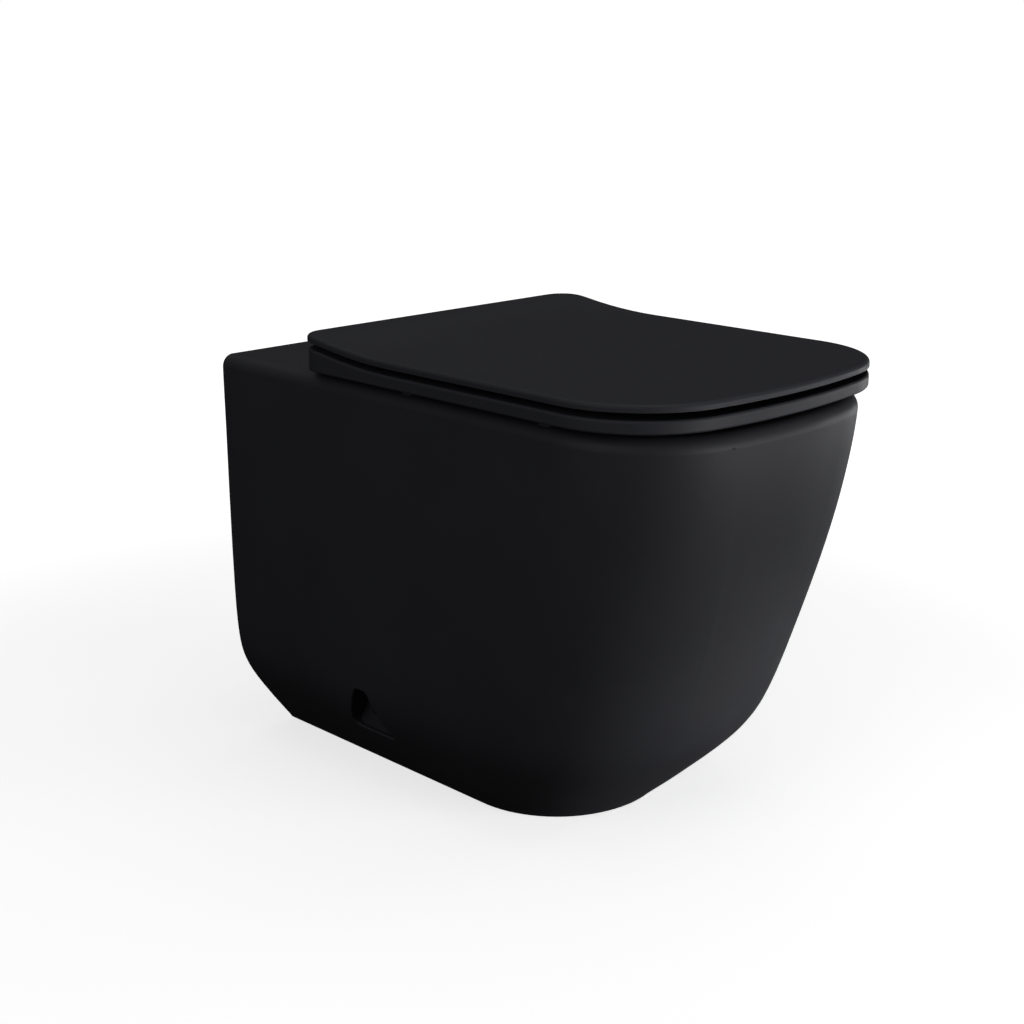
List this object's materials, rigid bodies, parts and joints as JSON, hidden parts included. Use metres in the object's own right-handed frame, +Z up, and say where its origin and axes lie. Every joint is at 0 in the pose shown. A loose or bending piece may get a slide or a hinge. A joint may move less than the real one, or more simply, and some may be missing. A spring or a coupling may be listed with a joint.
{
  "type": "back to wall toilet",
  "caption": "Floor standing back to wall toilet: a matt black pan that tapers to a narrow foot, under a slim D-shaped soft-close seat and lid on lift-off hinges.",
  "frame": {"origin": "at floor level in the wall plane, on the plane of symmetry", "axes": "+Z up, +Y into the wall so that the bowl points to -Y, +X to the right of someone who sits on it"},
  "size_m": [0.355, 0.5639, 0.4389],
  "materials": {
    "pan_glaze": "matt black glaze with a soft sheen",
    "seat_plastic": "matt black urea plastic, smooth",
    "bumper_rubber": "soft black rubber",
    "seal_rubber": "black rubber",
    "washer_rubber": "dark grey rubber",
    "damper_nylon": "moulded grey nylon",
    "fixing_nylon": "moulded off-white nylon",
    "hinge_steel": "satin stainless steel",
    "button_chrome": "polished",
    "sleeve_nylon": "moulded black nylon",
    "black_screw": "black oxide",
    "fixing_steel": "zinc plated",
    "bracket_steel": "galvanised"
  },
  "bodies": {
    "pan": {"pan": "pan_glaze", "bowl": "pan_glaze", "flush_inlet_seal": "seal_rubber", "hinge_base_left": "hinge_steel", "hinge_base_right": "hinge_steel", "hinge_arm_left": "hinge_steel", "hinge_arm_right": "hinge_steel", "hinge_spindle_left": "hinge_steel", "hinge_spindle_right": "hinge_steel", "hinge_stud_left": "fixing_steel", "hinge_stud_right": "fixing_steel", "hinge_washer_left": "washer_rubber", "hinge_washer_right": "washer_rubber", "expansion_bush_left": "fixing_nylon", "expansion_bush_right": "fixing_nylon", "hinge_nut_left": "fixing_nylon", "hinge_nut_right": "fixing_nylon", "screw_sleeve_left": "sleeve_nylon", "screw_sleeve_right": "sleeve_nylon", "floor_bracket_left": "bracket_steel", "floor_bracket_right": "bracket_steel", "side_screw_left": "black_screw", "side_screw_right": "black_screw"},
    "seat": {"seat_ring": "seat_plastic", "seat_bumpers": "bumper_rubber", "seat_damper_left": "damper_nylon", "seat_bush_right": "fixing_nylon"},
    "lid": {"lid": "seat_plastic", "lid_bumpers": "bumper_rubber", "lid_bush_left": "fixing_nylon", "lid_damper_right": "damper_nylon"},
    "button_left": {"release_button_left": "button_chrome"},
    "button_right": {"release_button_right": "button_chrome"}
  },
  "joints": [
    {"name": "seat_hinge", "type": "hinge", "parent": "pan", "child": "seat", "pos_m": [0, -0.1385, 0.421], "axis": [-1, 0, 0], "range_deg": [0, 90]},
    {"name": "lid_hinge", "type": "hinge", "parent": "seat", "child": "lid", "pos_m": [0, -0.1385, 0.421], "axis": [-1, 0, 0], "range_deg": [0, 90]},
    {"name": "release_button_left_slide", "type": "slide", "parent": "pan", "child": "button_left", "axis": [0, 1, 0], "range_m": [0, 0.0025], "stiffness_N_per_m": 400},
    {"name": "release_button_right_slide", "type": "slide", "parent": "pan", "child": "button_right", "axis": [0, 1, 0], "range_m": [0, 0.0025], "stiffness_N_per_m": 400}
  ]
}
